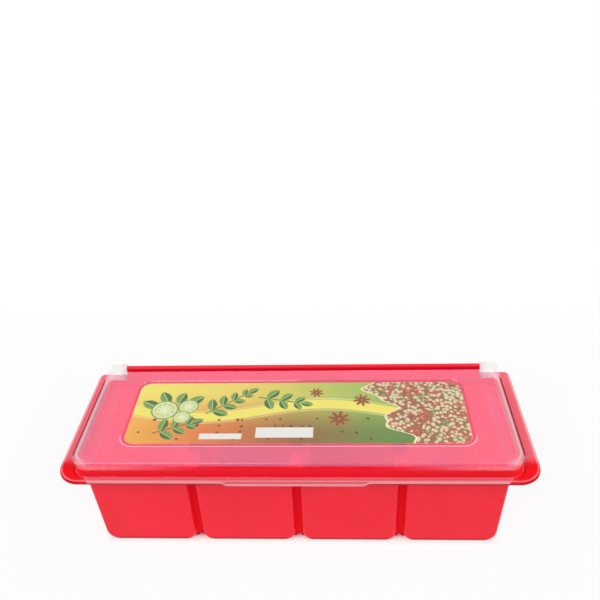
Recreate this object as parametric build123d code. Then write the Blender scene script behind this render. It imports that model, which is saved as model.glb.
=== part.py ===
from build123d import *
import os

# Spice tray: a row of wells under one rim, with a clear lid that swings on a rail at the rear.
# Millimetres. X runs along the row, Y from the front to the rear and Z up. The origin is on the
# surface that the tray stands on, in the middle of the whole outline.

# Wells
well_count = 4
well_length = 63.0  # outer size of one well along X, at the rim
well_width = 89.8  # outer size of a well along Y, at the rim
well_height = 63.2  # from the surface to the top of the rim
slot_width = 5.0  # gap between neighbouring wells
wall = 1.7  # walls and floors of the wells
front_lean = 1.5  # how far the front and rear walls lean in towards their foot
end_lean = 3.2  # the same for the two end walls of the row
end_flare = 1.7  # how far the end walls' tops stand out beyond the row's length
slot_lean = 0.2  # how far the walls that face a slot lean in
end_foot_radius = 9.0  # lower corners at the ends of the row, seen from the front
slot_foot_radius = 7.5  # the lower corners next to a slot
well_edge_radius = 2.0  # edges round the front and rear walls
well_hollow_edge_radius = 1.0  # the same inside

# Webs that close each slot a little behind its front and its rear mouth
web_depth = 4.0  # from the foot of the wells' front or rear walls to the web
web_foot = 0.5  # from the surface to the web's lower edge
web_notch_height = 3.0  # notch in the middle of the lower edge
web_notch_width = 4.0

# Rim
front_overhang = 5.2  # rim beyond the wells at the front
rear_overhang = 15.5  # the same at the rear
side_overhang = 21.5  # rim beyond the row at each end
rim_thickness = 2.0
rim_front_radius = 16.0
rim_rear_radius = 4.0
rim_edge_rounding = 1.5

# Curb: the upright wall on the rim, just inside the lid's skirt
curb_height = 6.6
curb_thickness = 1.4
curb_rounding = 0.6
curb_to_rim_end = 12.6  # from the curb's outer face to the end of the rim

# Hinge rail, along the rear edge of the rim, between the lid's ears
rail_thickness = 4.4
rail_height = 8.6  # above the rim
rail_rounding = 1.9

# Hinge pins on the lid's ears, in the ends of the rail
pin_radius = 1.2
pin_length = 4.4
pin_clearance = 0.05  # radial, so that the lid turns freely
pin_end_clearance = 0.8  # from the pin's end to the bottom of its bore
pin_tip_chamfer = 0.4
axis_below_rail_top = 3.2

# Lid
skirt_height = 12.5  # from the skirt's foot to the top of the lid
skirt_thickness = 1.5
top_thickness = 1.8
skirt_lean = 0.6  # how much further in the skirt is at its top than at its foot
skirt_clearance = 0.5  # around the curb, at the front and the ends
swing_clearance = 1.6  # between the curb and the rear skirt, which swings inwards as it lifts
seat_gap = 0.2  # from the rim to the skirt's foot
skirt_front_radius = 11.0
skirt_rear_radius = 3.0
lid_edge_rounding = 1.8

# Panel: a shallow recess in the top of the lid, which holds the label
panel_length = 231.0
panel_width = 65.0
panel_depth = 0.7
panel_slope = 0.8  # how far its walls spread outwards as they rise
panel_radius = 9.0
panel_from_front = 16.4  # from the front edge of the lid's top to the panel

# Front lip with its thumb tab
lip_thickness = 1.3
lip_reach = 0.9  # beyond the rim's front edge
lip_end_inset = 8.0  # from the side of the lid to the end of the lip
lip_end_slant = 3.8
tab_reach = 3.0  # beyond the rim's front edge
tab_length = 86.0  # along its front edge
tab_shoulder = 3.5
lip_rounding = 0.5

# Hinge ears
ear_width = 11.3
ear_radius = 4.2  # round the hinge axis
ear_gap = 0.6  # from the ear to the end of the rail
ear_plan_radius = 8.0  # outer rear corner, seen from above
ear_top_drop = 2.0  # from the top of the lid to the top of the arm
ear_foot_rise = 0.3  # from the skirt's foot to the underside of the arm

# Label
label_clearance = 2.0  # from its edge to the foot of the panel's wall
label_thickness = 0.25

cut_margin = 1.0  # how far a cutting solid runs past the face that it opens

# Places that follow from the sizes above
row_length = well_count * well_length + (well_count - 1) * slot_width
rim_length = row_length + 2 * side_overhang
rim_depth = front_overhang + well_width + rear_overhang
ear_beyond_rim = ear_radius - rail_thickness / 2
rim_front = tab_reach - (tab_reach + rim_depth + ear_beyond_rim) / 2
rim_rear = rim_front + rim_depth
rim_top = well_height
well_front = rim_front + front_overhang
well_rear = well_front + well_width
curb_half = rim_length / 2 - curb_to_rim_end
axis_y = rim_rear - rail_thickness / 2
axis_z = rim_top + rail_height - axis_below_rail_top
skirt_foot = rim_top + seat_gap
lid_top = skirt_foot + skirt_height
foot_half = curb_half + skirt_clearance + skirt_thickness
foot_front = well_front - skirt_clearance - skirt_thickness
foot_rear = well_rear + swing_clearance + skirt_thickness
panel_front = foot_front + skirt_lean + panel_from_front
panel_middle = panel_front + panel_width / 2
ear_inner = foot_half - ear_width
rail_length = 2 * (ear_inner - ear_gap)


def rounded_outline(half_length, front, rear, front_radius, rear_radius, height):
    """Face on the plane Z = height, symmetric about X = 0, with its own radii front and rear."""
    corners = Polyline(
        (-half_length, front), (half_length, front), (half_length, rear), (-half_length, rear), close=True
    )
    face = make_face(corners)
    face = fillet(face.vertices().filter_by(lambda v: v.Y < (front + rear) / 2), front_radius)
    face = fillet(face.vertices().group_by(Axis.Y)[-1], rear_radius)
    return Pos(0, 0, height) * face


def top_face(solid):
    return solid.faces().sort_by(Axis.Z)[-1]


def along_row(face, start, length):
    """Extrude a face drawn as (Y, Z) along X, from start."""
    return Pos(start, 0, 0) * (Rot(0, 0, 90) * (Rot(90, 0, 0) * extrude(face, length)))


def along_column(face, start, length):
    """Extrude a face drawn as (X, Z) along Y, from start."""
    return Pos(0, start + length, 0) * (Rot(90, 0, 0) * extrude(face, length))


def well_block(index, inset, edge_radius):
    """One well as a solid: its outside with no inset, or its hollow with the wall as the inset."""
    first = index == 0
    last = index == well_count - 1
    row_low = -row_length / 2 + index * (well_length + slot_width)
    mouth_low = row_low + inset - (end_flare if first else 0)
    mouth_high = row_low + well_length - inset + (end_flare if last else 0)
    foot_low = mouth_low + (end_lean if first else slot_lean)
    foot_high = mouth_high - (end_lean if last else slot_lean)
    y_low = well_front + inset
    y_high = well_rear - inset
    from_the_front = make_face(
        Polyline(
            (mouth_low, well_height),
            (foot_low, inset),
            (foot_high, inset),
            (mouth_high, well_height),
            close=True,
        )
    )
    for corner, at_row_end in ((0, first), (-1, last)):
        foot_radius = end_foot_radius if at_row_end else slot_foot_radius
        foot_corner = from_the_front.vertices().group_by(Axis.Y)[0].sort_by(Axis.X)[corner]
        from_the_front = fillet(foot_corner, foot_radius - inset)
    from_the_side = make_face(
        Polyline(
            (y_low, well_height),
            (y_low + front_lean, inset),
            (y_high - front_lean, inset),
            (y_high, well_height),
            close=True,
        )
    )
    block = along_column(from_the_front, y_low, y_high - y_low) & along_row(
        from_the_side, mouth_low, mouth_high - mouth_low
    )
    walls = block.faces().sort_by(Axis.Y)
    edges = walls[0].edges() + walls[-1].edges()
    return fillet(edges.filter_by(lambda edge: edge.center().Z < well_height), edge_radius)


def make_webs(index):
    """Front and rear web of the slot after a well, each a wall thick."""
    middle = -row_length / 2 + (index + 1) * (well_length + slot_width) - slot_width / 2
    reach = slot_width / 2 + slot_foot_radius
    outline = make_face(
        Polyline(
            (middle - reach, web_foot),
            (middle - web_notch_width / 2, web_foot),
            (middle, web_foot + web_notch_height),
            (middle + web_notch_width / 2, web_foot),
            (middle + reach, web_foot),
            (middle + reach, rim_top - rim_thickness / 2),
            (middle - reach, rim_top - rim_thickness / 2),
            close=True,
        )
    )
    depth = front_lean + web_depth
    return along_column(outline, well_front + depth, wall) + along_column(
        outline, well_rear - depth - wall, wall
    )


def make_rim():
    """Flat rim with a rounded upper edge."""
    outline = rounded_outline(
        rim_length / 2, rim_front, rim_rear, rim_front_radius, rim_rear_radius, rim_top - rim_thickness
    )
    rim = extrude(outline, rim_thickness)
    return fillet(top_face(rim).edges(), rim_edge_rounding)


def make_curb():
    """Upright wall on the rim, in line with the wells at the front and the rear."""
    front_radius = skirt_front_radius - skirt_thickness - skirt_clearance
    rear_radius = skirt_rear_radius
    outer = rounded_outline(curb_half, well_front, well_rear, front_radius, rear_radius, rim_top)
    inner = rounded_outline(
        curb_half - curb_thickness,
        well_front + curb_thickness,
        well_rear - curb_thickness,
        front_radius - curb_thickness,
        rear_radius - curb_thickness,
        rim_top,
    )
    curb = extrude(outer - inner, curb_height)
    return fillet(top_face(curb).edges(), curb_rounding)


def make_rail():
    """Bar along the rear edge of the rim, with a bore in each end for the lid's pins."""
    section = make_face(
        Polyline(
            (rim_rear - rail_thickness, rim_top - rim_thickness),
            (rim_rear, rim_top - rim_thickness),
            (rim_rear, rim_top + rail_height),
            (rim_rear - rail_thickness, rim_top + rail_height),
            close=True,
        )
    )
    section = fillet(section.vertices().group_by(Axis.Y)[-1], rail_rounding)
    bar = along_row(section, -rail_length / 2, rail_length)
    bore_depth = pin_length - ear_gap + pin_end_clearance
    for side in (-1, 1):
        middle = side * (rail_length / 2 - bore_depth / 2)
        bore = Cylinder(pin_radius + pin_clearance, bore_depth, rotation=(0, 90, 0))
        bar = bar - Pos(middle, axis_y, axis_z) * bore
    return bar


def make_tray():
    """The one-piece tray: wells, webs, rim, curb and rail."""
    tray = make_rim() + make_curb() + make_rail()
    for index in range(well_count):
        tray = tray + well_block(index, 0, well_edge_radius)
    for index in range(well_count - 1):
        tray = tray + make_webs(index)
    for index in range(well_count):
        hollow = well_block(index, wall, well_hollow_edge_radius)
        tray = tray - (hollow + extrude(top_face(hollow), cut_margin))
    return tray


def make_skirted_top():
    """The lid's top and skirt, open below."""
    top_half = foot_half - skirt_lean
    top_front = foot_front + skirt_lean
    top_rear = foot_rear - skirt_lean
    outside = loft(
        [
            rounded_outline(
                foot_half, foot_front, foot_rear, skirt_front_radius, skirt_rear_radius, skirt_foot
            ),
            rounded_outline(
                top_half,
                top_front,
                top_rear,
                skirt_front_radius - skirt_lean,
                skirt_rear_radius - skirt_lean,
                lid_top,
            ),
        ],
        ruled=True,
    )
    outside = fillet(top_face(outside).edges(), lid_edge_rounding)
    inside_top = lid_top - top_thickness
    lean_inside = skirt_lean * (inside_top - skirt_foot) / skirt_height
    inside = loft(
        [
            rounded_outline(
                foot_half - skirt_thickness,
                foot_front + skirt_thickness,
                foot_rear - skirt_thickness,
                skirt_front_radius - skirt_thickness,
                skirt_rear_radius - skirt_thickness,
                skirt_foot,
            ),
            rounded_outline(
                foot_half - skirt_thickness - lean_inside,
                foot_front + skirt_thickness + lean_inside,
                foot_rear - skirt_thickness - lean_inside,
                skirt_front_radius - skirt_thickness - lean_inside,
                skirt_rear_radius - skirt_thickness - lean_inside,
                inside_top,
            ),
        ],
        ruled=True,
    )
    return outside - inside


def panel_outline(spread, height):
    """Outline of the panel's floor, spread outwards by a margin or drawn in by a negative one."""
    size = RectangleRounded(panel_length + 2 * spread, panel_width + 2 * spread, panel_radius + spread)
    return Pos(0, panel_middle, height) * size


def make_lip():
    """Flat lip in front of the skirt's foot, with the thumb tab in its middle."""
    lip_end = foot_half - lip_end_inset
    lip_front = rim_front - lip_reach
    tab_front = rim_front - tab_reach
    root = foot_front + skirt_thickness / 2
    half_tab = tab_length / 2
    outline = make_face(
        Polyline(
            (-lip_end, root),
            (-lip_end + lip_end_slant, lip_front),
            (-half_tab - tab_shoulder, lip_front),
            (-half_tab, tab_front),
            (half_tab, tab_front),
            (half_tab + tab_shoulder, lip_front),
            (lip_end - lip_end_slant, lip_front),
            (lip_end, root),
            close=True,
        )
    )
    front_corners = outline.vertices().filter_by(lambda v: v.Y < foot_front)
    outline = fillet(front_corners, tab_reach - lip_reach)
    lip = extrude(Pos(0, 0, skirt_foot) * outline, lip_thickness)
    upper_edges = top_face(lip).edges().filter_by(lambda edge: edge.center().Y < foot_front)
    return fillet(upper_edges, lip_rounding)


def make_ear(side):
    """Arm from the rear of the skirt to the hinge axis, with its pin."""
    arm_front = foot_rear - skirt_thickness / 2
    profile = make_face(
        Polyline(
            (arm_front, skirt_foot + ear_foot_rise),
            (axis_y, axis_z - ear_radius),
            (axis_y, axis_z + ear_radius),
            (arm_front, lid_top - ear_top_drop),
            close=True,
        )
    )
    arm = along_row(profile, ear_inner, ear_width)
    boss = Cylinder(ear_radius, ear_width, rotation=(0, 90, 0))
    boss = Pos(ear_inner + ear_width / 2, axis_y, axis_z) * boss
    plan = make_face(
        Polyline(
            (ear_inner, arm_front),
            (foot_half, arm_front),
            (foot_half, axis_y + ear_radius),
            (ear_inner, axis_y + ear_radius),
            close=True,
        )
    )
    outer_corner = plan.vertices().group_by(Axis.Y)[-1].sort_by(Axis.X)[-1]
    plan = fillet(outer_corner, ear_plan_radius)
    ear = (arm + boss) & extrude(plan, lid_top)
    pin = Cylinder(pin_radius, pin_length, rotation=(0, 90, 0))
    pin = Pos(ear_inner - pin_length / 2, axis_y, axis_z) * pin
    pin = chamfer(pin.edges().group_by(Axis.X)[0], pin_tip_chamfer)
    ear = ear + pin
    return ear if side > 0 else mirror(ear, Plane.YZ)


def make_lid():
    """The one-piece clear lid: top, skirt, label panel, lip and ears."""
    lid = make_skirted_top()
    backing = extrude(panel_outline(panel_slope, lid_top - top_thickness - panel_depth), panel_depth)
    recess = loft(
        [panel_outline(0, lid_top - panel_depth), panel_outline(panel_slope, lid_top)],
        ruled=True,
    )
    lid = lid + backing - recess
    lid = lid + make_lip()
    for side in (-1, 1):
        lid = lid + make_ear(side)
    return lid


def make_label():
    """Printed sheet on the floor of the panel."""
    outline = panel_outline(-label_clearance, lid_top - panel_depth)
    return extrude(outline, label_thickness)


os.makedirs("parts", exist_ok=True)
for name, solid in (("tray", make_tray()), ("lid", make_lid()), ("label", make_label())):
    box = solid.bounding_box()
    print(name, "solids", len(solid.solids()), "volume", round(solid.volume), box.min, box.max)
    export_step(solid, "parts/" + name + ".step")
print("hinge axis y", axis_y, "z", axis_z)
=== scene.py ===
import bpy
import math
from mathutils import Matrix, Vector


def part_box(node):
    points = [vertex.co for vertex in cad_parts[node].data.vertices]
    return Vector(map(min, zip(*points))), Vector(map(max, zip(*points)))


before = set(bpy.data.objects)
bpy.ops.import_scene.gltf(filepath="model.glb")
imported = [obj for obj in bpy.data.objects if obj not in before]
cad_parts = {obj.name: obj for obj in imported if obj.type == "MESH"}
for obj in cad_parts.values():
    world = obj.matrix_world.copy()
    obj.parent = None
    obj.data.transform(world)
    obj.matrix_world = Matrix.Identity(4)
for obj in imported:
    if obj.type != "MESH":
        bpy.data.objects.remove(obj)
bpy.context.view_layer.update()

# Spice tray: a red moulded tray of four wells, a clear lid hinged along the rear, a printed label.
# Metres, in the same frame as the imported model. The materials work in millimetres.

millimetre = 0.001
scene = bpy.context.scene
black = (0.0, 0.0, 0.0, 1.0)
white = (1.0, 1.0, 1.0, 1.0)


def tint(red, green, blue):
    # a colour in screen values from 0 to 255, as the linear numbers that a shader takes
    def linear(channel):
        share = channel / 255
        return share / 12.92 if share <= 0.04045 else ((share + 0.055) / 1.055) ** 2.4
    return (linear(red), linear(green), linear(blue), 1.0)


class Signal:
    # one number in a material; arithmetic on it adds Math nodes
    def __init__(self, recipe, socket):
        self.recipe = recipe
        self.socket = socket

    def __add__(self, other):
        return self.recipe.maths("ADD", self, other)

    def __radd__(self, other):
        return self.recipe.maths("ADD", other, self)

    def __sub__(self, other):
        return self.recipe.maths("SUBTRACT", self, other)

    def __rsub__(self, other):
        return self.recipe.maths("SUBTRACT", other, self)

    def __mul__(self, other):
        return self.recipe.maths("MULTIPLY", self, other)

    def __rmul__(self, other):
        return self.recipe.maths("MULTIPLY", other, self)

    def __truediv__(self, other):
        return self.recipe.maths("DIVIDE", self, other)

    def __pow__(self, other):
        return self.recipe.maths("POWER", self, other)

    def __abs__(self):
        return self.recipe.maths("ABSOLUTE", self)


class Recipe:
    # a node material under construction
    def __init__(self, name, tree=None):
        if tree is None:
            self.material = bpy.data.materials.new(name)
            self.material.use_nodes = True
            tree = self.material.node_tree
        self.tree = tree
        self.tree.nodes.clear()

    def add(self, kind, settings=None, sockets=None):
        node = self.tree.nodes.new(kind)
        for name, value in (settings or {}).items():
            if name == "stops":
                while len(node.color_ramp.elements) < len(value):
                    node.color_ramp.elements.new(1.0)
                for element, (place, colour) in zip(node.color_ramp.elements, value):
                    element.position = place
                    element.color = colour
            elif name == "interpolation":
                node.color_ramp.interpolation = value
            else:
                setattr(node, name, value)
        for name, value in (sockets or {}).items():
            self.feed(node.inputs[name], value)
        return node

    def feed(self, socket, value):
        if isinstance(value, Signal):
            value = value.socket
        if isinstance(value, bpy.types.NodeSocket):
            self.tree.links.new(value, socket)
        else:
            socket.default_value = value

    def number(self, kind, settings=None, sockets=None, output=0):
        return Signal(self, self.add(kind, settings, sockets).outputs[output])

    def maths(self, operation, *values):
        return self.number("ShaderNodeMath", {"operation": operation}, dict(enumerate(values)))

    def least(self, a, b):
        return self.maths("MINIMUM", a, b)

    def most(self, a, b):
        return self.maths("MAXIMUM", a, b)

    def root(self, value):
        return self.maths("SQRT", value)

    def sine(self, value):
        return self.maths("SINE", value)

    def smooth(self, value, low, high):
        # 0 up to low, 1 from high on, and a soft step between them; high may be the smaller one
        settings = {"interpolation_type": "SMOOTHSTEP"}
        sockets = {"Value": value, "From Min": low, "From Max": high}
        return self.number("ShaderNodeMapRange", settings, sockets)

    def inside(self, distance, blur=0.3):
        # 1 where the distance to an edge is negative, softened over the blur
        sockets = {"Value": distance, "From Min": -blur, "From Max": blur, "To Min": 1.0, "To Max": 0.0}
        return self.number("ShaderNodeMapRange", None, sockets)

    def stripe(self, value, centre, halfWidth, blur=0.3):
        # 1 up to a half width on both sides of a centre, softened over the blur
        return self.inside(abs(value - centre) - halfWidth, blur)

    def fromOutline(self, x, y, halfX, halfY, radius):
        # distance to a rounded rectangle about the middle, negative inside it
        beyondX = abs(x) - (halfX - radius)
        beyondY = abs(y) - (halfY - radius)
        outX, outY = self.most(beyondX, 0.0), self.most(beyondY, 0.0)
        within = self.least(self.most(beyondX, beyondY), 0.0)
        return self.root(outX * outX + outY * outY) + within - radius

    def blend(self, share, a, b, how="MIX"):
        # colours: a where share is 0 and b where it is 1
        settings = {"data_type": "RGBA", "blend_type": how}
        return self.add("ShaderNodeMix", settings, {0: share, 6: a, 7: b}).outputs[2]

    def ramp(self, value, stops, interpolation="LINEAR"):
        settings = {"stops": stops, "interpolation": interpolation}
        return self.add("ShaderNodeValToRGB", settings, {0: value}).outputs[0]

    def split(self, vector):
        parts = self.add("ShaderNodeSeparateXYZ", None, {0: vector}).outputs
        return [Signal(self, socket) for socket in parts]

    def place(self):
        # Object coordinates in millimetres, as a vector
        coordinates = self.add("ShaderNodeTexCoord").outputs["Object"]
        sockets = {0: coordinates, 3: 1 / millimetre}
        return self.add("ShaderNodeVectorMath", {"operation": "SCALE"}, sockets).outputs[0]

    def turned(self, vector, centre, degrees, size=(1.0, 1.0)):
        # along and across a direction, from a centre and in units of a size
        sockets = {
            "Vector": vector,
            "Location": (centre[0], centre[1], 0.0),
            "Rotation": (0.0, 0.0, math.radians(degrees)),
            "Scale": (size[0], size[1], 1.0),
        }
        settings = {"vector_type": "TEXTURE"}
        return self.split(self.add("ShaderNodeMapping", settings, sockets).outputs[0])[:2]

    def noise(self, vector, perMillimetre, detail=2.0, roughness=0.5):
        sockets = {"Vector": vector, "Scale": perMillimetre, "Detail": detail, "Roughness": roughness}
        return self.number("ShaderNodeTexNoise", {"noise_dimensions": "3D"}, sockets)

    def bump(self, height, strength, depth, over=None):
        sockets = {"Height": height, "Strength": strength, "Distance": depth * millimetre}
        if over is not None:
            sockets["Normal"] = over
        return self.add("ShaderNodeBump", None, sockets).outputs[0]

    def mix(self, share, a, b):
        # shaders, as blend does colours
        return self.add("ShaderNodeMixShader", None, {0: share, 1: a.outputs[0], 2: b.outputs[0]})

    def finish(self, shader):
        self.add("ShaderNodeOutputMaterial", None, {"Surface": shader})
        return self.material


# Red moulded tray. Two numbers together are where a soft step starts and ends, in millimetres.
# A number with "above" in its name is a height over the top of the rim.

redMoulding = {
    "colour": tint(241, 6, 44),
    "deepColour": tint(232, 3, 35),
    "shelterShadeColour": tint(226, 2, 26),
    "paintedShadeColour": tint(176, 6, 36),
    "flankSheenColour": tint(236, 120, 134),
    "cornerShadeColour": tint(240, 0, 16),
    "rimHighlightColour": tint(252, 200, 204),
    "cloudsPerMillimetre": 0.03,    # slow drift of the colour
    "cloudRange": (0.2, 0.8),
    "roughness": 0.33,
    "roughnessSpread": 0.08,
    "shelteredRoughness": 0.95,     # in the grooves, on the curb and at the rim's front corners
    "shine": 0.32,
    "refraction": 1.49,
    "peelPerMillimetre": 0.7,       # fine skin of the moulding
    "peelStrength": 0.2,
    "peelDepth": 0.02,

    # painted light: a glow that stands in for the daylight that the walls let through, as a share of
    # their colour
    "glow": 0.14,
    "glowInside": 0.27,
    "glowOfCurb": 0.08,
    "glowOfEndWalls": 0.2,
    "glowBehindLid": 0.2,
    "middleLand": 2.6,              # how much of the painted glow inside the land between the wells has; it lifts the label's shadow there
    "endLand": 1.6,                 # the same at the ends of the row

    # wells
    "slotPitch": 68.0,
    "slotWall": (3.2, 3.6),         # from the middle of a slot to the inner faces beside it
    "slotFace": (2.75, 2.55),       # and to the outer faces
    "slotsEnd": 80.0,               # there are no slots farther out
    "endWells": (100.0, 102.0),
    "endWallFace": (125.0, 128.0),
    "wellFront": -49.55,
    "wellRear": 40.25,
    "wallMiddle": 2.35,             # from an outer face at the rim to the middle of the wall's foot
    "wallLean": 0.024,              # of the front and rear walls, per millimetre of height
    "endWallMiddle": 131.2,
    "endWallLean": 0.05,
    "floorTop": (0.7, 1.1),
    "footShade": (3.8, 2.2),         # painted shade, a darker line round the feet
    "footShadeShare": 0.85,
    "belowAbove": (-1.0, -2.6),     # where the grooves start under the rim
    "wallAbove": (-0.4, -0.6),

    # rim and curb
    "rimTopHalf": 0.4,              # how near its height counts as the top of the rim
    "landHalf": 141.0,
    "rimHalf": 155.0,
    "rimFront": -54.75,
    "rimRadius": 16.0,
    "rimMiddle": 100.0,             # far behind, so that only the rim's front and sides count
    # painted shade under the rim's outer edge
    "undersideHalf": 137.0,
    "undersideMargin": 1.0,
    "undersideStart": (0.0, 0.5),
    "undersideAbove": (-0.6, -1.5),
    "curbAbove": (0.3, 1.0),        # from here up everything has the curb's glow
    "curbStripe": (-2.2, 0.6),      # middle and half width, from the lid's outline
    "curbShelterAbove": (0.0, 0.6),
    "lidOutline": (-51.55, 43.35, 11.0),    # front, rear and corner radius of the skirt's foot
    "lidGap": 0.2,                  # between the rim and the shut lid
    "lidShadeLine": (0.5, 0.6, 0.5),     # middle, half width and blur of the painted shade line round the lid
    "lidShadeHalf": 0.3,
    "lidShadeShare": 0.85,
    "toRear": (-42.0, -32.0),       # where the rim's flanks start, behind its front corners
    "flankStart": (145.0, 148.0),
    "flankSheenShare": 0.6,
    "cornerStart": (136.0, 141.0),
    "cornerAbove": (-2.5, -1.5),
    "rimHighlightStripe": (-1.3, 0.4, 0.4),       # middle, half width and blur, from the rim's outline
    "rimHighlightAbove": (-1.2, -0.6),
    "rimHighlightFront": 0.35,            # share at the front, and what comes on top towards the rear
    "rimHighlightRear": 0.35,
    "rollStart": 8.0,               # behind the wells' front, where the rim looks rolled down from
    "rollDown": 0.0125,             # per square millimetre

    # rail: painted shade on its front, and painted glow where that shows through the lid
    "railStart": (49.0, 49.6),
    "railMiddle": 53.0,
    "railAbove": (0.1, 0.4),
    "behindLidAbove": (5.6, 4.8),   # the rail's face that shows through the lid
    "railTopAbove": (8.5, 7.9),
    "railShadeShare": 0.7,
}


def makeRedMoulding(look, rimTop, lidHalf):
    recipe = Recipe("redMoulding")
    where = recipe.place()
    x, y, z = recipe.split(where)
    aside = abs(x)
    above = z - rimTop
    clouds = recipe.noise(where, look["cloudsPerMillimetre"])
    deep = recipe.smooth(clouds, *look["cloudRange"])
    colour = recipe.blend(deep, look["colour"], look["deepColour"])

    # inner faces of the wells, told from the outer ones by the middle of the walls
    pitch = look["slotPitch"]
    fromSlot = abs(recipe.maths("FLOORED_MODULO", x + pitch / 2, pitch) - pitch / 2)
    inside = recipe.smooth(fromSlot, *look["slotWall"])
    inside = recipe.most(inside, recipe.smooth(aside, *look["endWells"]))
    inside = inside * recipe.inside(aside - z * look["endWallLean"] - look["endWallMiddle"])
    inside = inside * recipe.smooth(z, *look["floorTop"]) * recipe.inside(above - look["rimTopHalf"])
    atRimTop = recipe.stripe(above, 0.0, look["rimTopHalf"])
    betweenSlots = recipe.inside(aside - look["slotsEnd"])
    land = look["endLand"] + betweenSlots * (look["middleLand"] - look["endLand"])
    inside = recipe.most(inside, atRimTop * recipe.inside(aside - look["landHalf"]) * land)
    leaning = z * look["wallLean"]
    inside = inside * recipe.inside(look["wellFront"] + look["wallMiddle"] - leaning - y)
    inside = inside * recipe.inside(y - leaning - (look["wellRear"] - look["wallMiddle"]))
    endWall = inside * recipe.smooth(aside, *look["endWallFace"])
    endWall = endWall * recipe.smooth(above, *look["wallAbove"])

    # painted shade on sheltered faces: a deeper red in the grooves between the wells and on the curb,
    # and at the rim's front corners, which face away from the light; all of them are rougher too
    groove = recipe.smooth(fromSlot, *look["slotFace"]) * recipe.smooth(above, *look["belowAbove"])
    groove = groove * betweenSlots
    colour = recipe.blend(groove, colour, look["shelterShadeColour"])
    lidFront, lidRear, lidRadius = look["lidOutline"]
    lidMiddle = (lidFront + lidRear) / 2
    fromLid = recipe.fromOutline(x, y - lidMiddle, lidHalf, (lidRear - lidFront) / 2, lidRadius)
    curb = recipe.stripe(fromLid, *look["curbStripe"]) * recipe.smooth(above, *look["curbShelterAbove"])
    colour = recipe.blend(curb, colour, look["shelterShadeColour"])
    toRear = recipe.smooth(y, *look["toRear"])
    corner = recipe.smooth(aside, *look["cornerStart"]) * (1.0 - toRear)
    corner = corner * recipe.smooth(above, *look["cornerAbove"])
    # painted sheen: the rim's flat flanks lighter, as if mirroring the bright room behind
    flankSheen = recipe.smooth(aside, *look["flankStart"]) * toRear * atRimTop
    colour = recipe.blend(flankSheen * look["flankSheenShare"], colour, look["flankSheenColour"])
    colour = recipe.blend(corner, colour, look["cornerShadeColour"])
    sheltered = groove + curb + corner
    roughness = look["roughness"] + (clouds - 0.5) * look["roughnessSpread"]
    roughness = roughness + sheltered * (look["shelteredRoughness"] - look["roughness"])

    # painted highlight along the rim's outermost edge, where it takes the room's light
    rimMiddle = look["rimMiddle"]
    rimReach = rimMiddle - look["rimFront"]
    fromRim = recipe.fromOutline(x, y - rimMiddle, look["rimHalf"], rimReach, look["rimRadius"])
    rimHighlight = recipe.stripe(fromRim, *look["rimHighlightStripe"]) * recipe.smooth(above, *look["rimHighlightAbove"])
    rimHighlight = rimHighlight * (look["rimHighlightFront"] + toRear * look["rimHighlightRear"])
    colour = recipe.blend(rimHighlight, colour, look["rimHighlightColour"])

    # painted shade: dark lines under the rim's edge, round the lid, along the rail and at the feet
    fromWells = recipe.most(look["wellFront"] - look["undersideMargin"] - y,
                            y - look["wellRear"] - look["undersideMargin"])
    outer = recipe.most(aside - look["undersideHalf"], fromWells)
    edge = recipe.smooth(outer, *look["undersideStart"]) * recipe.smooth(above, *look["undersideAbove"])
    line = recipe.stripe(fromLid, *look["lidShadeLine"]) * recipe.stripe(above, 0.0, look["lidShadeHalf"])
    railFront = recipe.smooth(y, *look["railStart"]) * recipe.inside(y - look["railMiddle"])
    railFront = railFront * recipe.smooth(above, *look["railAbove"])
    behindLid = recipe.smooth(above, *look["behindLidAbove"])
    rail = railFront * recipe.smooth(above, *look["railTopAbove"]) * (1.0 - behindLid)
    foot = recipe.smooth(z, *look["footShade"]) * (1.0 - inside)
    paintedShade = recipe.most(edge, line * look["lidShadeShare"])
    paintedShade = recipe.most(paintedShade, recipe.most(rail * look["railShadeShare"], foot * look["footShadeShare"]))
    colour = recipe.blend(paintedShade, colour, look["paintedShadeColour"])

    # painted glow: emission that stands in for light let through the walls and filling the wells
    glow = look["glow"] + inside * (look["glowInside"] - look["glow"])
    glow = glow + recipe.smooth(above, *look["curbAbove"]) * look["glowOfCurb"]
    glow = glow + endWall * look["glowOfEndWalls"] + railFront * behindLid * look["glowBehindLid"]

    # the rim's front corners look rolled down towards the front, and all of it has a fine skin
    reach = recipe.most(look["wellFront"] + look["rollStart"] - y, 0.0)
    rolled = recipe.bump(reach * reach * -look["rollDown"] * atRimTop, 1.0, 1.0)
    peel = recipe.noise(where, look["peelPerMillimetre"])
    shader = recipe.add("ShaderNodeBsdfPrincipled", None, {
        "Base Color": colour,
        "Roughness": roughness,
        "Normal": recipe.bump(peel, look["peelStrength"], look["peelDepth"], rolled),
        "Emission Color": recipe.blend(glow, black, colour),
        "Emission Strength": 1.0,
        "IOR": look["refraction"],
        "Specular IOR Level": look["shine"],
    })
    return recipe.finish(shader.outputs[0])


# Clear moulded lid. A veil is how much of what is behind one face it hides, and much of it is
# painted light and shade. Heights are from the lid's top or its foot, and margins from its edges.

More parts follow.
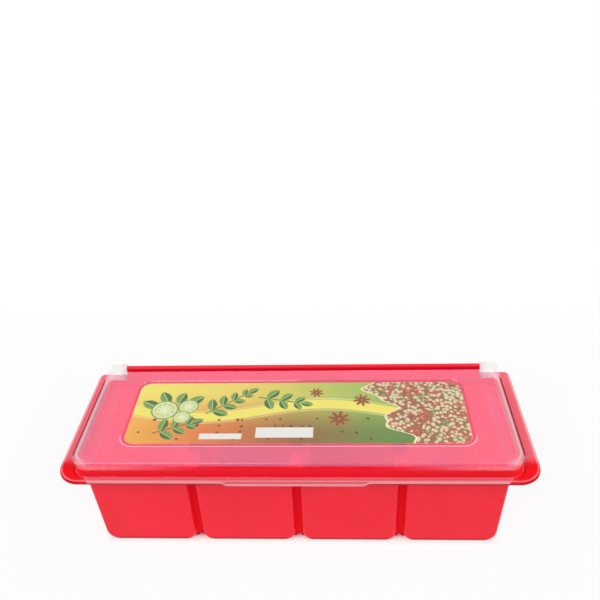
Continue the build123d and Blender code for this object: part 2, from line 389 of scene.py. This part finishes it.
clearMoulding = {
    "colour": tint(206, 198, 255),
    "highlightColour": tint(255, 216, 220),
    "lipSheenColour": tint(255, 184, 194),
    "lipHighlightColour": tint(255, 206, 212),
    "shadeLineColour": tint(178, 44, 60),
    "earColour": tint(228, 236, 232),
    "earGrainColour": (0.45, 0.52, 0.50, 1.0),
    "mirrorColour": (0.95, 0.92, 1.0, 1.0),
    "roughness": 0.45,
    "mirrorRoughness": 0.05,
    "headOnMirror": 0.045,
    "mirrorPower": 5.0,
    "skirtCalm": 0.96,              # how much less of the room the upright skirt mirrors
    "brightCalm": 0.7,              # the same for the bright edges
    "brightGlow": 0.5,              # painted glow: light that the bright edges gather
    "wavesPerMillimetre": 0.08,
    "waveStrength": 0.12,
    "waveDepth": 0.03,

    "veil": 0.003,
    "topVeil": 0.18,                # more of it on the top: painted reflection of the bright room above, and haze from wear
    "cloudVeil": 0.02,
    "cloudsPerMillimetre": 0.022,
    "cloudDetail": (3.0, 0.55),     # octaves, and how strong the finer ones are
    "cloudRange": (0.4, 0.68),
    "scuffVeil": 0.015,
    "scuffTurn": 24.0,              # direction of the scuffs in degrees, and their length and width
    "scuffSize": (9.0, 0.8),
    "scuffDensity": 0.5,
    "scuffDetail": (3.0, 0.6),
    "scuffRange": (0.58, 0.74),
    "ringVeil": 0.12,
    "ringMarks": ((-46.0, -43.5), (9.5, -43.5)),    # left by the mould's pins
    "ringRadius": 2.4,
    "ringHalf": 0.3,
    "ringBlur": 0.25,

    # top, skirt and lip, whose flat top has a painted sheen and its edge a painted highlight
    "topStart": (-1.6, -0.5),
    "skirtStart": (1.2, 1.8),
    "lipHeight": (1.6, 1.2),
    "lipStart": (6.7, 6.3),
    "lipSheenVeil": 0.17,
    "lipHighlightVeil": 0.3,
    "lipHighlight": (0.7, 0.3),
    "lipFront": -55.65,
    "tabFront": -57.75,
    "tabHalf": 45.0,
    "tabSlope": 1.75,

    # painted highlights and shade lines on the rounded outer edges of the top
    "frontMargin": 18.4,            # from the label to the top's outline
    "rearMargin": 14.3,
    "sideMargin": 0.6,
    "outlineRadius": 10.4,
    "sidesStart": (-14.0, -4.0),
    "edgeHighlightVeil": 0.22,               # painted highlights: bright bands along the side edges
    "edgeBand": (-2.7, 0.9, 0.5),   # middle, half width and blur
    "innerBand": (-5.2, 0.4, 0.5),
    "innerBandShare": 0.35,
    "bandHeight": (-3.0, -1.0),
    "warmStrip": (-7.5, -4.5),      # the sides' outer strip has the painted highlights' warm colour too
    "warmShare": 0.8,
    "cornerHighlightVeil": 0.34,             # painted highlight on the front corners, which gather the most light
    "cornerAside": (-16.0, -5.0),
    "cornerBack": (6.0, 1.5),
    "cornerBand": (-1.8, 0.9, 0.6),
    "glintVeil": 0.14,              # painted highlight: a light band below the front edge, towards the corners
    "glintBand": (-4.4, 1.2, 0.6),
    "glintAside": (50.0, 132.0),
    "frontFace": (2.2, 1.2),
    "shadeLineVeil": 0.75,               # painted shade: dark lines along the front edge and on the side walls
    "sideShadeLine": (-2.1, -1.3),
    "sideLineBack": (4.0, 9.0),
    "sideLineHeight": (3.0, 6.0),
    "sideLineRear": (-7.0, -11.0),
    "frontShadeLine": (-1.8, 0.5, 0.4),
    "frontShadeShare": 0.35,

    # the label's panel, with a painted highlight and painted shade along its outline
    "panelRadius": 9.8,
    "panelMargin": 2.8,             # from the label's edge to the panel's upper edge
    "panelFront": (0.55, 0.95),     # shares of the way to the panel's front
    "panelHighlight": (0.1, 0.5, 0.35),
    "panelHighlightVeil": 0.42,
    "panelShade": (-1.5, 0.6, 0.5),
    "panelShadeHeight": (-1.6, -1.0),
    "panelShadeVeil": 0.24,

    # hinge ears
    "earVeil": 0.42,
    "earBack": (0.4, 1.2),
    "earAside": (-12.0, -11.0),
    "earGrainPerMillimetre": 0.45,
    "earGrain": (0.42, 0.6),
    "earGrainShare": 0.3,
}


def makeClearMoulding(look, low, high, labelLow, labelHigh):
    recipe = Recipe("clearMoulding")
    where = recipe.place()
    x, y, z = recipe.split(where)
    low, high = low / millimetre, high / millimetre
    labelLow, labelHigh = labelLow / millimetre, labelHigh / millimetre
    front = labelLow.y - look["frontMargin"]
    rear = labelHigh.y + look["rearMargin"]
    aside = abs(x)
    beside = aside - high.x
    fromTop, fromFoot = z - high.z, z - low.z
    fromFront, fromRear = y - front, y - rear
    onTop = recipe.smooth(fromTop, *look["topStart"])
    onSkirt = recipe.smooth(fromFoot, *look["skirtStart"]) * (1.0 - onTop)
    onLip = recipe.smooth(fromFoot, *look["lipHeight"]) * recipe.smooth(y - low.y, *look["lipStart"])

    # veil of the top: painted reflection of the bright room above and haze, with cloudy wear, scuffs
    # and rings left by the mould's pins
    clouds = recipe.noise(where, look["cloudsPerMillimetre"], *look["cloudDetail"])
    clouds = recipe.smooth(clouds, *look["cloudRange"])
    along, across = recipe.turned(where, (0.0, 0.0), look["scuffTurn"], look["scuffSize"])
    streaks = recipe.add("ShaderNodeCombineXYZ", None, {0: along, 1: across, 2: 0.0})
    scuffs = recipe.noise(streaks.outputs[0], look["scuffDensity"], *look["scuffDetail"])
    scuffs = recipe.smooth(scuffs, *look["scuffRange"])
    sheenAndWear = look["topVeil"] + clouds * look["cloudVeil"] + scuffs * look["scuffVeil"]
    for centre in look["ringMarks"]:
        off, over = recipe.turned(where, centre, 0.0)
        distance = recipe.root(off * off + over * over)
        ring = recipe.stripe(distance, look["ringRadius"], look["ringHalf"], look["ringBlur"])
        sheenAndWear = sheenAndWear + ring * look["ringVeil"]

    # painted highlights and shade lines on the rounded outer edges of the top
    halfDepth = (rear - front) / 2
    halfLength = high.x - look["sideMargin"]
    fromMiddle = y - (front + rear) / 2
    fromEdge = recipe.fromOutline(x, fromMiddle, halfLength, halfDepth, look["outlineRadius"])
    sides = recipe.smooth(beside, *look["sidesStart"])
    band = recipe.stripe(fromEdge, *look["edgeBand"])
    band = band + recipe.stripe(fromEdge, *look["innerBand"]) * look["innerBandShare"]
    band = band * sides * recipe.smooth(fromTop, *look["bandHeight"])
    corner = recipe.smooth(beside, *look["cornerAside"]) * recipe.smooth(fromFront, *look["cornerBack"])
    corner = corner * recipe.stripe(fromTop, *look["cornerBand"])
    inFront = recipe.smooth(fromFront, *look["frontFace"]) * (1.0 - onLip)
    glint = recipe.stripe(fromTop, *look["glintBand"]) * inFront
    glint = glint * recipe.smooth(aside, *look["glintAside"])
    # painted shade: dark lines on the side walls and along the front edge
    sideShadeLine = recipe.smooth(fromEdge, *look["sideShadeLine"]) * sides
    sideShadeLine = sideShadeLine * recipe.smooth(fromFoot, *look["sideLineHeight"])
    sideShadeLine = sideShadeLine * recipe.smooth(fromFront, *look["sideLineBack"])
    sideShadeLine = sideShadeLine * recipe.smooth(fromRear, *look["sideLineRear"])
    frontShadeLine = recipe.stripe(fromTop, *look["frontShadeLine"]) * inFront * look["frontShadeShare"]
    outerShadeLine = recipe.most(sideShadeLine, frontShadeLine * (1.0 - corner))

    # front lip, which steps forward as the tab; a painted highlight runs along its edge
    onTab = recipe.inside(aside - look["tabHalf"], look["tabSlope"])
    lipFront = look["lipFront"] + onTab * (look["tabFront"] - look["lipFront"])
    lipHighlight = onLip * recipe.smooth(y - lipFront, *look["lipHighlight"])

    # the label's panel: a painted highlight on its upper edge in front and painted shade at its foot
    # all round
    halfX, halfY = ((side / 2 + look["panelMargin"]) for side in (labelHigh - labelLow).xy)
    fromLabel = y - (labelLow.y + labelHigh.y) / 2
    fromPanel = recipe.fromOutline(x, fromLabel, halfX, halfY, look["panelRadius"])
    panelFront = recipe.smooth(fromLabel, *(-halfY * share for share in look["panelFront"]))
    panelHighlight = recipe.stripe(fromPanel, *look["panelHighlight"]) * onTop * panelFront
    panelShade = recipe.stripe(fromPanel, *look["panelShade"])
    panelShade = panelShade * recipe.smooth(fromTop, *look["panelShadeHeight"])

    # hinge ears
    onEar = recipe.smooth(fromRear, *look["earBack"]) * recipe.smooth(beside, *look["earAside"])
    grain = recipe.smooth(recipe.noise(where, look["earGrainPerMillimetre"]), *look["earGrain"])
    earGrain = grain * look["earGrainShare"]

    veil = look["veil"] + onTop * sheenAndWear
    veil = veil + band * look["edgeHighlightVeil"] + corner * look["cornerHighlightVeil"] + glint * look["glintVeil"]
    veil = veil + outerShadeLine * look["shadeLineVeil"] + onLip * look["lipSheenVeil"] + lipHighlight * look["lipHighlightVeil"]
    veil = veil + panelHighlight * look["panelHighlightVeil"] + panelShade * look["panelShadeVeil"]
    veil = veil + onEar * look["earVeil"] * (1.0 - look["earGrainShare"] + earGrain)

    # the painted highlights whiten the milk, calm its mirror and make it glow
    warmHighlight = recipe.smooth(fromEdge, *look["warmStrip"]) * sides * look["warmShare"]
    gathered = recipe.least(recipe.most(band + corner + panelHighlight + glint, warmHighlight), 1.0)
    milkColour = recipe.blend(gathered, look["colour"], look["highlightColour"])
    milkColour = recipe.blend(outerShadeLine, milkColour, look["shadeLineColour"])
    lipSheenColour = recipe.blend(lipHighlight, look["lipSheenColour"], look["lipHighlightColour"])
    milkColour = recipe.blend(onLip, milkColour, lipSheenColour)
    earColour = recipe.blend(earGrain, look["earColour"], look["earGrainColour"])
    milkColour = recipe.blend(onEar, milkColour, earColour)
    milkColour = recipe.blend(panelShade, milkColour, look["shadeLineColour"])

    # what it mirrors: most at a glancing angle
    facing = recipe.number("ShaderNodeLayerWeight", None, {"Blend": 0.5}, output=1)
    mirror = look["headOnMirror"] + (1.0 - look["headOnMirror"]) * facing ** look["mirrorPower"]
    calm = recipe.most(recipe.most(onSkirt, onLip), outerShadeLine) * look["skirtCalm"]
    mirror = mirror * (1.0 - calm) * (1.0 - gathered * look["brightCalm"])

    waves = recipe.noise(where, look["wavesPerMillimetre"])
    normal = recipe.bump(waves, look["waveStrength"], look["waveDepth"])
    brightGlow = gathered * (1.0 - outerShadeLine) * look["brightGlow"]
    milk = recipe.add("ShaderNodeBsdfPrincipled", None, {
        "Base Color": milkColour,
        "Emission Color": recipe.blend(brightGlow, black, milkColour),
        "Emission Strength": 1.0,
        "Roughness": look["roughness"],
        "Specular IOR Level": 0.0,
        "Normal": normal,
    })
    gloss = recipe.add("ShaderNodeBsdfAnisotropic", None, {
        "Color": look["mirrorColour"],
        "Roughness": look["mirrorRoughness"],
        "Normal": normal,
    })
    clear = recipe.add("ShaderNodeBsdfTransparent")
    milky = recipe.mix(veil, clear, milk)
    return recipe.finish(recipe.mix(mirror, milky, gloss).outputs[0])


# Printed label: along runs from the left to the right and across from the front to the rear,
# both in millimetres from its middle. Leaves, limes and stars are drawn in shares of their own size.

labelPrint = {
    "upper": ((0.0, tint(255, 240, 120)), (0.35, tint(246, 220, 110)), (0.62, tint(190, 202, 102)),
              (1.0, tint(130, 174, 90))),
    "lower": ((0.0, tint(252, 184, 84)), (0.22, tint(232, 134, 74)), (0.5, tint(158, 104, 66)),
              (0.76, tint(108, 142, 72)), (1.0, tint(80, 136, 68))),
    "meet": (-0.75, 0.65),          # where the two meet, as shares of the half width
    "meetLean": 0.06,
    "driftPerMillimetre": 0.03,
    "drift": 0.12,
    "ribbon": tint(253, 240, 116),
    "ribbonLine": tint(255, 250, 196),
    "ribbonHalfWidth": 4.6,
    "ribbonSwing": 6.5,
    "ribbonTurns": 1.35,
    "ribbonStart": 0.9,
    "ribbonRise": 1.0,
    "ribbonBlur": 0.4,
    "ribbonLineOff": 1.3,
    "ribbonLineHalf": 0.3,
    "ribbonLineShare": 0.8,
    "paper": tint(246, 244, 238),
    "bareBack": 0.8,                # how much of the sheet's back is bare paper
    "backBlur": 0.02,
    "grainPerMillimetre": 1.6,
    "grain": ((0.3, tint(120, 120, 120)), (0.7, tint(255, 255, 255))),
    "grainShare": 0.06,
    "roughness": 0.34,
    "roughnessSpread": 0.12,
    "shine": 0.35,
    "sagPerMillimetre": 0.05,
    "sagStrength": 0.2,
    "sagDepth": 0.15,

    "leaf": tint(62, 112, 58),
    "leafLight": tint(120, 166, 84),
    "leafShade": (-0.25, 0.55),
    "leafEnds": (0.0, 0.05),
    "leafVein": tint(186, 206, 130),
    "veinHalf": 0.12,
    "veinBlur": 0.08,
    "inkBlur": 0.3,
    "sprigs": (     # foot, direction, length, pairs of leaves
        ((-63.0, -2.0), 38.0, 34.0, 4),
        ((-28.0, 15.0), -12.0, 30.0, 3),
        ((-96.0, -21.0), 22.0, 26.0, 3),
    ),
    "stemHalf": 0.45,
    "firstPair": 0.6,               # place of the first pair, in steps from the foot
    "pairLength": 12.5,             # of the first pair, and how much the next ones are shorter
    "pairShorter": 1.7,
    "pairSpread": 58.0,
    "pairCloser": 6.0,
    "pairSlimness": 0.27,
    "tipLeaf": (9.5, 2.6),
    "darkLeaves": (     # foot, direction, length, half width
        ((-96.0, 4.0), 152.0, 15.0, 4.2),
        ((-90.0, 8.0), 118.0, 15.0, 4.0),
        ((-84.0, 8.0), 74.0, 13.0, 3.8),
        ((-78.0, 7.0), 38.0, 15.0, 4.0),
    ),

    "rind": tint(126, 164, 62),
    "pith": tint(244, 246, 220),
    "flesh": tint(206, 222, 128),
    "fleshLight": tint(232, 240, 176),
    "limes": (      # middle, radius, turn
        ((-76.0, 5.5), 7.0, 12.0),
        ((-92.0, 2.0), 9.5, 0.0),
        ((-79.0, -5.5), 6.0, 25.0),
    ),
    "limeSegments": 9,
    "pithRadius": 0.88,
    "fleshRadius": 0.78,
    "fleshBlur": 0.03,
    "fleshShade": (0.2, 0.8),
    "segmentGap": (0.08, 0.2),
    "roundBlur": 0.35,

    "anise": tint(126, 66, 38),
    "aniseLight": tint(196, 132, 80),
    "stars": (      # middle, radius, turn
        ((28.0, -7.5), 8.5, 10.0),
        ((44.0, 11.5), 6.5, 32.0),
        ((12.5, 19.5), 5.2, 5.0),
    ),
    "starArms": 8,
    "starWaist": 0.36,
    "armReach": 0.62,
    "armSeed": (0.2, 0.1),          # half length and blur of the seed in each arm
    "armMiddle": (0.86, 0.97),
    "starShade": (0.1, 0.9),
    "starHub": 0.14,
    "hubBlur": 0.06,
    "plates": (     # middle, half length, half width
        ((-8.0, -20.5), 19.0, 4.8),
        ((-50.0, -24.0), 14.0, 2.6),
    ),
    "plateBlur": 0.25,

    "seedSize": 2.7,
    "seeds": ((0.0, tint(150, 58, 66)), (0.14, tint(212, 98, 66)), (0.3, tint(238, 210, 168)),
              (0.46, tint(190, 84, 64)), (0.6, tint(228, 218, 176)), (0.76, tint(140, 160, 92)),
              (0.9, tint(230, 156, 96))),
    "seedPick": 0.55,               # how much of a seed's colour is its own, and how much its zone's
    "zonePick": 0.95,
    "zoneMiddle": 0.28,
    "zonesPerMillimetre": 0.06,
    "seedGap": tint(150, 116, 80),
    "seedGapStart": (0.36, 0.68),
    "seedGlint": (0.16, 0.1, 0.35),         # radius, blur and share
    "heapEdge": 62.0,
    "heapLean": 0.35,
    "heapWaves": ((0.19, 0.6, 7.0), (0.47, 0.0, 2.2)),      # rate, start and swing
    "heapLine": 1.4,
    "cornsPerMillimetre": 0.16,
    "cornScatter": 0.85,
    "cornPick": (0.74, 0.75),
    "cornSize": (0.14, 0.06),       # radius of the smallest, and how much larger some are
    "cornBlur": 0.04,
    "cornArea": (-5.0, 52.0, 2.0),  # limits across and along, and their blur
}


def paintLeaf(recipe, colour, look, where, foot, degrees, length, halfWidth):
    # a lens shape from its foot to its tip
    along, across = recipe.turned(where, foot, degrees, (length, halfWidth))
    swell = recipe.most(along * (1.0 - along) * 4.0, 0.0)
    mask = recipe.inside(abs(across) - swell, look["inkBlur"] / halfWidth)
    mask = mask * recipe.smooth(swell, *look["leafEnds"])
    tone = recipe.blend(recipe.smooth(across, *look["leafShade"]), look["leaf"], look["leafLight"])
    vein = recipe.stripe(across, 0.0, look["veinHalf"], look["veinBlur"])
    tone = recipe.blend(vein, tone, look["leafVein"])
    return recipe.blend(mask, colour, tone)


def paintSprig(recipe, colour, look, where, sprig):
    foot, degrees, length, pairs = sprig
    turn = math.radians(degrees)
    along, across = recipe.turned(where, foot, degrees)
    stem = recipe.stripe(across, 0.0, look["stemHalf"]) * recipe.stripe(along, length / 2, length / 2)
    colour = recipe.blend(stem, colour, look["leaf"])

    def onStem(reach):
        return (foot[0] + reach * math.cos(turn), foot[1] + reach * math.sin(turn))

    for index in range(pairs):
        start = onStem(length * (index + look["firstPair"]) / pairs)
        size = look["pairLength"] - look["pairShorter"] * index
        spread = look["pairSpread"] - look["pairCloser"] * index
        for side in (-1, 1):
            colour = paintLeaf(recipe, colour, look, where, start, degrees + side * spread,
                               size, size * look["pairSlimness"])
    return paintLeaf(recipe, colour, look, where, onStem(length), degrees, *look["tipLeaf"])


def polar(recipe, where, middle, radius, turn):
    along, across = recipe.turned(where, middle, turn, (radius, radius))
    return recipe.root(along * along + across * across), recipe.maths("ARCTAN2", across, along)


def paintLime(recipe, colour, look, where, lime):
    middle, radius, turn = lime
    distance, angle = polar(recipe, where, middle, radius, turn)
    blur = look["fleshBlur"]
    rind = recipe.inside(distance - 1.0, look["roundBlur"] / radius)
    colour = recipe.blend(rind, colour, look["rind"])
    colour = recipe.blend(recipe.inside(distance - look["pithRadius"], blur), colour, look["pith"])
    fromSpoke = abs(recipe.sine(angle * (look["limeSegments"] / 2))) * distance
    flesh = recipe.inside(distance - look["fleshRadius"], blur)
    flesh = flesh * recipe.smooth(fromSpoke, *look["segmentGap"])
    tone = recipe.blend(recipe.smooth(distance, *look["fleshShade"]), look["fleshLight"], look["flesh"])
    return recipe.blend(flesh, colour, tone)


def paintStar(recipe, colour, look, where, star):
    middle, radius, turn = star
    distance, angle = polar(recipe, where, middle, radius, turn)
    arm = abs(recipe.sine(angle * (look["starArms"] / 2)))
    edge = look["starWaist"] + arm * look["armReach"]
    mask = recipe.inside(distance - edge, look["roundBlur"] / radius)
    seedHalf, seedBlur = look["armSeed"]
    seed = recipe.inside(abs(distance - look["armReach"]) - arm * seedHalf, seedBlur)
    seed = seed * recipe.smooth(arm, *look["armMiddle"])
    tone = recipe.blend(recipe.smooth(distance, *look["starShade"]), look["anise"], look["aniseLight"])
    tone = recipe.blend(seed, tone, look["anise"])
    hub = recipe.inside(distance - look["starHub"], look["hubBlur"])
    tone = recipe.blend(hub, tone, look["aniseLight"])
    return recipe.blend(mask, colour, tone)


def scatter(recipe, where, perMillimetre, randomness=1.0):
    # cells of a flat scatter: the distance to each one's point, and three random numbers
    settings = {"voronoi_dimensions": "2D", "feature": "F1"}
    sockets = {"Vector": where, "Scale": perMillimetre, "Randomness": randomness}
    cells = recipe.add("ShaderNodeTexVoronoi", settings, sockets)
    return Signal(recipe, cells.outputs["Distance"]), recipe.split(cells.outputs["Color"])


def paintCorns(recipe, colour, look, where, along, across):
    # loose peppercorns in the lower half
    distance, chance = scatter(recipe, where, look["cornsPerMillimetre"], look["cornScatter"])
    smallest, larger = look["cornSize"]
    lastAcross, lastAlong, blur = look["cornArea"]
    corn = recipe.inside(distance - (chance[2] * larger + smallest), look["cornBlur"])
    corn = corn * recipe.smooth(chance[1], *look["cornPick"])
    corn = corn * recipe.inside(across - lastAcross, blur) * recipe.inside(along - lastAlong, blur)
    return recipe.blend(corn, colour, look["anise"])


def paintSeeds(recipe, colour, look, where, along, across):
    # a heap of mixed seeds that fills the right end behind a wavy edge
    edge = look["heapEdge"] - across * look["heapLean"]
    for rate, start, swing in look["heapWaves"]:
        edge = edge + recipe.sine(across * rate + start) * swing
    distance, chance = scatter(recipe, where, 1 / look["seedSize"])
    zone = recipe.noise(where, look["zonesPerMillimetre"], 1.0)
    pick = chance[0] * look["seedPick"] + (zone - look["zoneMiddle"]) * look["zonePick"]
    shade = recipe.ramp(pick, look["seeds"], "CONSTANT")
    shade = recipe.blend(recipe.smooth(distance, *look["seedGapStart"]), shade, look["seedGap"])
    glintRadius, glintBlur, glintShare = look["seedGlint"]
    glint = recipe.inside(distance - glintRadius, glintBlur) * glintShare
    shade = recipe.blend(glint, shade, look["paper"])
    colour = recipe.blend(recipe.inside(edge - along - look["heapLine"]), colour, look["ribbonLine"])
    return recipe.blend(recipe.inside(edge - along), colour, shade)


def makeLabelPrint(look, low, high):
    recipe = Recipe("labelPrint")
    middle = tuple((low + high) / 2 / millimetre)
    halfLength, halfWidth = (high - low).xy / 2 / millimetre
    shift = {"operation": "SUBTRACT"}
    where = recipe.add("ShaderNodeVectorMath", shift, {0: recipe.place(), 1: middle}).outputs[0]
    along, across, up = recipe.split(where)

    # ground: an upper and a lower run of colours that meet softly, with a wavy ribbon over both
    drift = recipe.noise(where, look["driftPerMillimetre"])
    share = along / (2 * halfLength) + 0.5 + (drift - 0.5) * look["drift"]
    meet = (halfWidth * edge for edge in look["meet"])
    height = recipe.smooth(across + along * look["meetLean"], *meet)
    colour = recipe.blend(height, recipe.ramp(share, look["lower"]), recipe.ramp(share, look["upper"]))
    rate = math.pi * look["ribbonTurns"] / halfLength
    wave = recipe.sine(along * rate + look["ribbonStart"]) * look["ribbonSwing"]
    fromRibbon = abs(across - wave - look["ribbonRise"])
    band = recipe.inside(fromRibbon - look["ribbonHalfWidth"], look["ribbonBlur"])
    colour = recipe.blend(band, colour, look["ribbon"])
    lineMiddle = look["ribbonHalfWidth"] + look["ribbonLineOff"]
    line = recipe.stripe(fromRibbon, lineMiddle, look["ribbonLineHalf"])
    colour = recipe.blend(line * look["ribbonLineShare"], colour, look["ribbonLine"])

    colour = paintCorns(recipe, colour, look, where, along, across)
    for sprig in look["sprigs"]:
        colour = paintSprig(recipe, colour, look, where, sprig)
    for leaf in look["darkLeaves"]:
        colour = paintLeaf(recipe, colour, look, where, *leaf)
    for lime in look["limes"]:
        colour = paintLime(recipe, colour, look, where, lime)
    colour = paintSeeds(recipe, colour, look, where, along, across)
    for star in look["stars"]:
        colour = paintStar(recipe, colour, look, where, star)
    for centre, halfPlate, halfTall in look["plates"]:
        off, over = recipe.turned(where, centre, 0.0)
        beyond = recipe.most(abs(off) - halfPlate, abs(over) - halfTall)
        colour = recipe.blend(recipe.inside(beyond, look["plateBlur"]), colour, look["paper"])

    grain = recipe.noise(where, look["grainPerMillimetre"])
    colour = recipe.blend(look["grainShare"], colour, recipe.ramp(grain, look["grain"]), "MULTIPLY")
    # the sheet's back is bare paper that the print shows through faintly
    colour = recipe.blend(recipe.inside(up, look["backBlur"]) * look["bareBack"], colour, look["paper"])
    sag = recipe.noise(where, look["sagPerMillimetre"])
    shader = recipe.add("ShaderNodeBsdfPrincipled", None, {
        "Base Color": colour,
        "Roughness": look["roughness"] + (grain - 0.5) * look["roughnessSpread"],
        "Normal": recipe.bump(sag, look["sagStrength"], look["sagDepth"]),
        "Specular IOR Level": look["shine"],
    })
    return recipe.finish(shader.outputs[0])


def dress(node, material):
    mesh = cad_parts[node].data
    if len(mesh.materials) == 0:
        mesh.materials.append(material)
    for slot in range(len(mesh.materials)):
        mesh.materials[slot] = material


lidLow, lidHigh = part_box("lid")
labelLow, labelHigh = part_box("label")
rimTop = lidLow.z / millimetre - redMoulding["lidGap"]
dress("tray", makeRedMoulding(redMoulding, rimTop, lidHigh.x / millimetre))
dress("lid", makeClearMoulding(clearMoulding, lidLow, lidHigh, labelLow, labelHigh))
dress("label", makeLabelPrint(labelPrint, labelLow, labelHigh))
print("materials made")


# Floor, backdrop and light

studio = {
    "floorSize": 5.0,
    "floorColour": (0.93, 0.93, 0.93, 1.0),
    "footprint": (131.0, 43.5, -4.65),      # half lengths along X and Y, and the middle along Y
    "shadowEdge": (-6.0, 4.0),      # where the floor turns pale, from the footprint's edge
    "shadowFade": 0.90,             # how much of the shadow is gone there
    "shadowReach": (20.0, 260.0),   # where the rest of it fades out
    "worldLight": 0.42,
    "frontGlare": 0.25,             # what gloss mirrors of the room in front, and above the rear
    "rearGlare": 1.7,
    "glareTowards": (0.6, 0.8),     # along Y and Z
    "glareRise": (-0.1, 0.8),
    "aim": (0.0, 0.0, 0.04),
    "lamps": (      # name, place, size, energy
        ("keyLamp", (-0.55, -0.75, 1.25), 1.0, 8.4),
        ("fillLamp", (0.75, -0.55, 1.0), 1.0, 5.0),
    ),
}


def rayKinds(recipe):
    path = recipe.add("ShaderNodeLightPath")
    kinds = ("Is Camera Ray", "Is Glossy Ray", "Is Transmission Ray")
    camera, glossy, through = (Signal(recipe, path.outputs[kind]) for kind in kinds)
    return recipe.most(camera, through), glossy


def makeFloor(look):
    half = look["floorSize"] / 2
    mesh = bpy.data.meshes.new("floor")
    corners = [(-half, -half, 0), (half, -half, 0), (half, half, 0), (-half, half, 0)]
    mesh.from_pydata(corners, [], [(0, 1, 2, 3)])
    floor = bpy.data.objects.new("floor", mesh)
    scene.collection.objects.link(floor)
    recipe = Recipe("floorPaper")
    x, y = recipe.split(recipe.place())[:2]
    halfX, halfY, middleY = look["footprint"]
    distance = recipe.most(abs(x) - halfX, abs(y - middleY) - halfY)
    paper = recipe.add("ShaderNodeBsdfDiffuse", None, {"Color": look["floorColour"]})
    pale = recipe.add("ShaderNodeEmission", None, {"Color": white, "Strength": 1.0})
    seen, glossy = rayKinds(recipe)
    fade = recipe.smooth(distance, *look["shadowEdge"]) * look["shadowFade"]
    fade = fade + recipe.smooth(distance, *look["shadowReach"]) * (1.0 - look["shadowFade"])
    share = recipe.most(seen, glossy) * fade
    mesh.materials.append(recipe.finish(recipe.mix(share, paper, pale).outputs[0]))


def makeWorld(look):
    world = bpy.data.worlds.new("studio")
    scene.world = world
    world.use_nodes = True
    recipe = Recipe("studio", world.node_tree)
    seen, glossy = rayKinds(recipe)
    y, z = recipe.split(recipe.add("ShaderNodeTexCoord").outputs["Generated"])[1:]
    towardsY, towardsZ = look["glareTowards"]
    rise = recipe.smooth(y * towardsY + z * towardsZ, *look["glareRise"])
    glare = look["frontGlare"] + rise * (look["rearGlare"] - look["frontGlare"])
    strength = recipe.most(seen, glossy * glare + (1.0 - glossy) * look["worldLight"])
    sky = recipe.add("ShaderNodeBackground", None, {"Color": white, "Strength": strength})
    recipe.add("ShaderNodeOutputWorld", None, {"Surface": sky.outputs[0]})


def makeLamp(name, place, size, energy, aim):
    lamp = bpy.data.lights.new(name, "AREA")
    lamp.shape = "DISK"
    lamp.size = size
    lamp.energy = energy
    holder = bpy.data.objects.new(name, lamp)
    scene.collection.objects.link(holder)
    holder.location = place
    holder.rotation_euler = (Vector(aim) - Vector(place)).to_track_quat("-Z", "Y").to_euler()


makeFloor(studio)
makeWorld(studio)
for lampName, lampPlace, lampSize, lampEnergy in studio["lamps"]:
    makeLamp(lampName, lampPlace, lampSize, lampEnergy, studio["aim"])
print("studio lit")


# Camera, from the lines of the object in the photograph

view = {
    "place": (0.0280, -0.35945, 0.3925),
    "pitch": 32.39,         # degrees below level
    "yaw": -3.66,
    "roll": -2.68,
    "focalPixels": 694.0,   # in a picture 600 pixels wide
    "pictureWidth": 600.0,
    "sensorWidth": 36.0,
    "clipStart": 0.01,
}


def makeCamera(look):
    pitch, yaw, roll = (math.radians(look[name]) for name in ("pitch", "yaw", "roll"))
    level = math.cos(pitch)
    ahead = Vector((math.sin(yaw) * level, math.cos(yaw) * level, -math.sin(pitch)))
    right = Vector((math.cos(yaw), -math.sin(yaw), 0))
    upward = right.cross(ahead)
    turnedRight = math.cos(roll) * right + math.sin(roll) * upward
    turnedUp = -math.sin(roll) * right + math.cos(roll) * upward
    lens = bpy.data.cameras.new("camera")
    lens.sensor_width = look["sensorWidth"]
    lens.lens = look["focalPixels"] * look["sensorWidth"] / look["pictureWidth"]
    lens.clip_start = look["clipStart"]
    camera = bpy.data.objects.new("camera", lens)
    scene.collection.objects.link(camera)
    turn = Matrix((turnedRight, turnedUp, -ahead)).transposed()
    camera.matrix_world = Matrix.Translation(look["place"]) @ turn.to_4x4()
    scene.camera = camera


makeCamera(view)
scene.view_settings.view_transform = "Standard"
print("camera placed")
